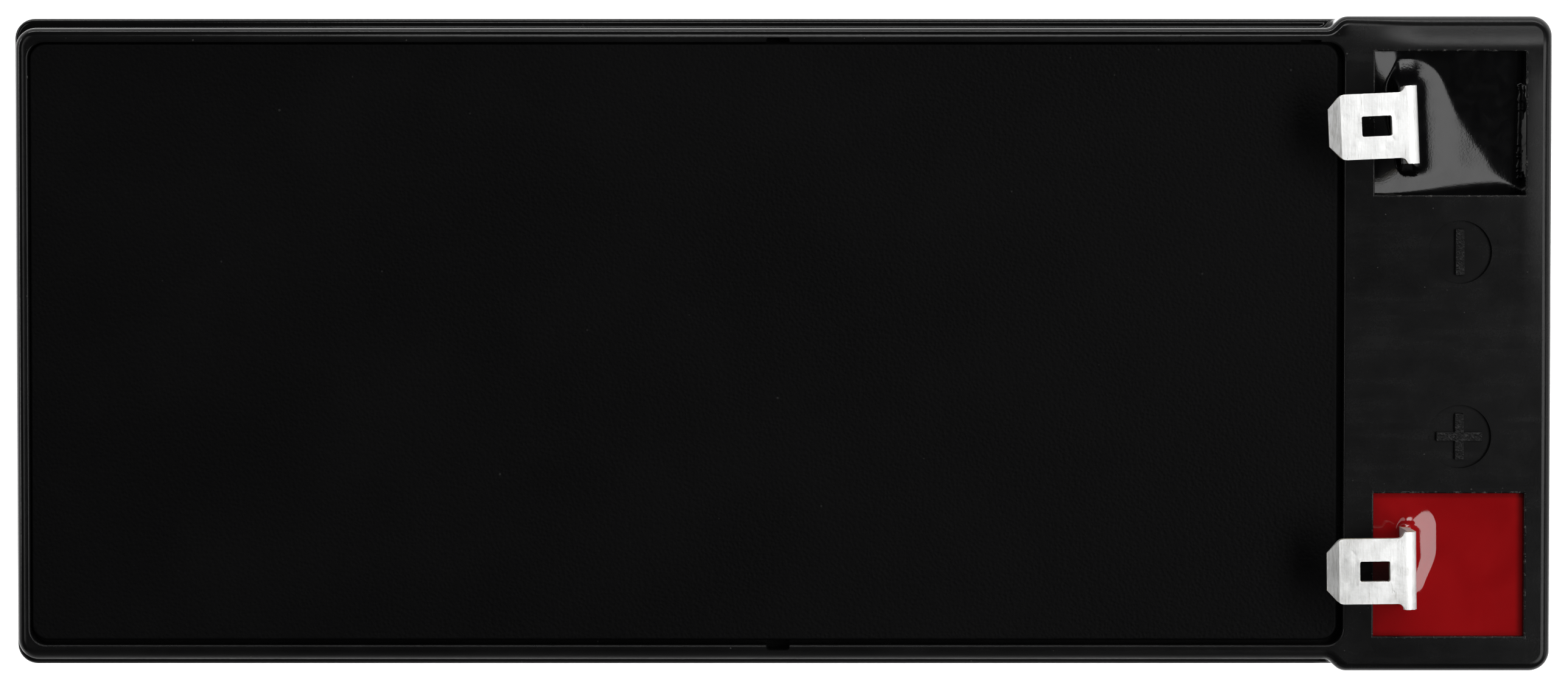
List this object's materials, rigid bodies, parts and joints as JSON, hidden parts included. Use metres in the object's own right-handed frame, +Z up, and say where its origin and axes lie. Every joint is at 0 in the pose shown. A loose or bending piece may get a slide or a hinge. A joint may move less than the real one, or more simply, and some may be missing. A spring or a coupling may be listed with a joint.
{
  "type": "sealed lead-acid battery",
  "caption": "Sealed black block battery with a stepped lid, a vent cover plate and two blade terminals in red and black resin wells.",
  "frame": {"origin": "middle of the base, on the surface the battery stands on", "axes": "+X along the length towards the terminal end, +Y along the width towards the negative terminal, +Z up out of the lid"},
  "size_m": [0.151, 0.064, 0.0995],
  "materials": {
    "case_black": "moulded, fine satin texture",
    "cover_black": "fine grained matte",
    "seam_sealant": "cured, slightly glossy",
    "valve_rubber": "matte",
    "cast_lead": "dull cast",
    "solder": "dull bright",
    "tinned_brass": "satin tin plating, brass at cut edges",
    "resin_black": "self-levelled, glossy",
    "resin_red": "self-levelled, glossy",
    "positive_active_mass": "dry paste on a cast grid",
    "negative_active_mass": "dry paste on a cast grid",
    "glass_mat": "felted glass fibre"
  },
  "bodies": {
    "battery": {"cell_1_negative_plates": "negative_active_mass", "cell_1_negative_strap": "cast_lead", "cell_1_positive_plates": "positive_active_mass", "cell_1_positive_strap": "cast_lead", "cell_1_separators": "glass_mat", "cell_2_negative_plates": "negative_active_mass", "cell_2_negative_strap": "cast_lead", "cell_2_positive_plates": "positive_active_mass", "cell_2_positive_strap": "cast_lead", "cell_2_separators": "glass_mat", "cell_3_negative_plates": "negative_active_mass", "cell_3_negative_strap": "cast_lead", "cell_3_positive_plates": "positive_active_mass", "cell_3_positive_strap": "cast_lead", "cell_3_separators": "glass_mat", "cell_4_negative_plates": "negative_active_mass", "cell_4_negative_strap": "cast_lead", "cell_4_positive_plates": "positive_active_mass", "cell_4_positive_strap": "cast_lead", "cell_4_separators": "glass_mat", "cell_5_negative_plates": "negative_active_mass", "cell_5_negative_strap": "cast_lead", "cell_5_positive_plates": "positive_active_mass", "cell_5_positive_strap": "cast_lead", "cell_5_separators": "glass_mat", "cell_6_negative_plates": "negative_active_mass", "cell_6_negative_strap": "cast_lead", "cell_6_positive_plates": "positive_active_mass", "cell_6_positive_strap": "cast_lead", "cell_6_separators": "glass_mat", "container": "case_black", "intercell_welds": "cast_lead", "lid": "case_black", "lid_seal_bead": "seam_sealant", "negative_blade_terminal": "tinned_brass", "negative_post": "cast_lead", "negative_post_seal_ring": "valve_rubber", "negative_solder_joint": "solder", "negative_well_resin": "resin_black", "positive_blade_terminal": "tinned_brass", "positive_post": "cast_lead", "positive_post_seal_ring": "valve_rubber", "positive_solder_joint": "solder", "positive_well_resin": "resin_red", "vent_cover_plate": "cover_black"},
    "valve_cap_1": {"valve_cap_1": "valve_rubber"},
    "valve_cap_2": {"valve_cap_2": "valve_rubber"},
    "valve_cap_3": {"valve_cap_3": "valve_rubber"},
    "valve_cap_4": {"valve_cap_4": "valve_rubber"},
    "valve_cap_5": {"valve_cap_5": "valve_rubber"},
    "valve_cap_6": {"valve_cap_6": "valve_rubber"}
  },
  "joints": [
    {"name": "valve_1_lift", "type": "slide", "parent": "battery", "child": "valve_cap_1", "axis": [0, 0, 1], "range_m": [0, 0.00045], "stiffness_N_per_m": 1000},
    {"name": "valve_2_lift", "type": "slide", "parent": "battery", "child": "valve_cap_2", "axis": [0, 0, 1], "range_m": [0, 0.00045], "stiffness_N_per_m": 1000},
    {"name": "valve_3_lift", "type": "slide", "parent": "battery", "child": "valve_cap_3", "axis": [0, 0, 1], "range_m": [0, 0.00045], "stiffness_N_per_m": 1000},
    {"name": "valve_4_lift", "type": "slide", "parent": "battery", "child": "valve_cap_4", "axis": [0, 0, 1], "range_m": [0, 0.00045], "stiffness_N_per_m": 1000},
    {"name": "valve_5_lift", "type": "slide", "parent": "battery", "child": "valve_cap_5", "axis": [0, 0, 1], "range_m": [0, 0.00045], "stiffness_N_per_m": 1000},
    {"name": "valve_6_lift", "type": "slide", "parent": "battery", "child": "valve_cap_6", "axis": [0, 0, 1], "range_m": [0, 0.00045], "stiffness_N_per_m": 1000}
  ]
}
